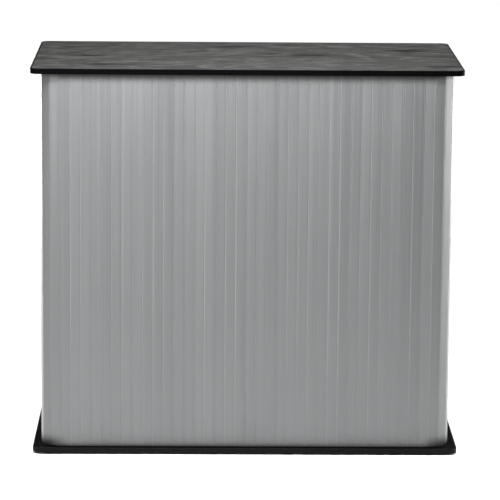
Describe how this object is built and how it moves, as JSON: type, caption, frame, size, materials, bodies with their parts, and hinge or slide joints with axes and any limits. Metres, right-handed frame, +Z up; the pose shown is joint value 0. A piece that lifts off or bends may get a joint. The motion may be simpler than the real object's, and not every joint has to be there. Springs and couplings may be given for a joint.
{
  "type": "promotion counter",
  "caption": "Free-standing promotion counter: thin dark worktop and base board joined by a silver wrap of upright hooked slats with rounded corners, open at the back over an inner shelf.",
  "frame": {"origin": "middle of the counter's footprint, on the floor", "axes": "+Z up, +X to the right as the customer sees the front, +Y to the open back"},
  "size_m": [1.0396, 0.5146, 0.95],
  "materials": {
    "black_board": "fibreboard faced in black melamine with a fine grain",
    "black_edging": "black plastic edging, satin, arrises rounded",
    "woodgrain_laminate": "dark grey laminate with a long wood grain",
    "silver_slat": "hollow plastic slats in satin silver-grey",
    "satin_aluminium": "satin anodised",
    "black_plastic": "moulded, finely textured",
    "steel": "bright zinc",
    "black_rubber": "matt rubber"
  },
  "bodies": {
    "carcass": {"base_board": "black_board", "base_edging": "black_edging", "foot_front_left": "black_rubber", "foot_front_right": "black_rubber", "foot_rear_left": "black_rubber", "foot_rear_right": "black_rubber", "foot_screws": "steel", "post_socket_front_left": "black_plastic", "post_socket_front_right": "black_plastic", "post_socket_rear_left": "black_plastic", "post_socket_rear_right": "black_plastic", "socket_screws": "steel", "post_front_left": "satin_aluminium", "post_front_right": "satin_aluminium", "post_rear_left": "satin_aluminium", "post_rear_right": "satin_aluminium", "post_cap_front_left": "black_plastic", "post_cap_front_right": "black_plastic", "post_cap_rear_left": "black_plastic", "post_cap_rear_right": "black_plastic", "tambour_front": "silver_slat", "tambour_left_side": "silver_slat", "tambour_right_side": "silver_slat", "tambour_front_left_corner": "silver_slat", "tambour_front_right_corner": "silver_slat", "tambour_rear_left_corner": "silver_slat", "tambour_rear_right_corner": "silver_slat", "tambour_left_return": "silver_slat", "tambour_right_return": "silver_slat", "left_end_stile": "satin_aluminium", "right_end_stile": "satin_aluminium", "stile_pins": "steel"},
    "worktop": {"worktop_board": "black_board", "worktop_edging": "black_edging", "worktop_laminate": "woodgrain_laminate", "worktop_peg_front_left": "satin_aluminium", "worktop_peg_front_right": "satin_aluminium", "worktop_peg_rear_left": "satin_aluminium", "worktop_peg_rear_right": "satin_aluminium", "peg_rings": "black_rubber", "peg_screws": "steel"},
    "shelf": {"shelf_board": "black_board", "shelf_edging": "black_edging", "shelf_collar_front_left": "black_plastic", "shelf_collar_front_right": "black_plastic", "shelf_collar_rear_left": "black_plastic", "shelf_collar_rear_right": "black_plastic", "collar_screws": "steel"},
    "knob_front_left": {"collar_knob_front_left": "black_plastic"},
    "knob_front_right": {"collar_knob_front_right": "black_plastic"},
    "knob_rear_left": {"collar_knob_rear_left": "black_plastic"},
    "knob_rear_right": {"collar_knob_rear_right": "black_plastic"}
  },
  "joints": [
    {"name": "worktop_lift", "type": "slide", "parent": "carcass", "child": "worktop", "axis": [0, 0, 1], "range_m": [0, 0.06]},
    {"name": "shelf_height", "type": "slide", "parent": "carcass", "child": "shelf", "axis": [0, 0, 1], "range_m": [-0.38, 0.42]},
    {"name": "knob_turn_front_left", "type": "hinge", "parent": "shelf", "child": "knob_front_left", "pos_m": [-0.45, -0.1875, 0.447], "axis": [1, 0, 0], "continuous": true},
    {"name": "knob_turn_front_right", "type": "hinge", "parent": "shelf", "child": "knob_front_right", "pos_m": [0.45, -0.1875, 0.447], "axis": [-1, 0, 0], "continuous": true},
    {"name": "knob_turn_rear_left", "type": "hinge", "parent": "shelf", "child": "knob_rear_left", "pos_m": [-0.45, 0.1875, 0.447], "axis": [1, 0, 0], "continuous": true},
    {"name": "knob_turn_rear_right", "type": "hinge", "parent": "shelf", "child": "knob_rear_right", "pos_m": [0.45, 0.1875, 0.447], "axis": [-1, 0, 0], "continuous": true}
  ]
}
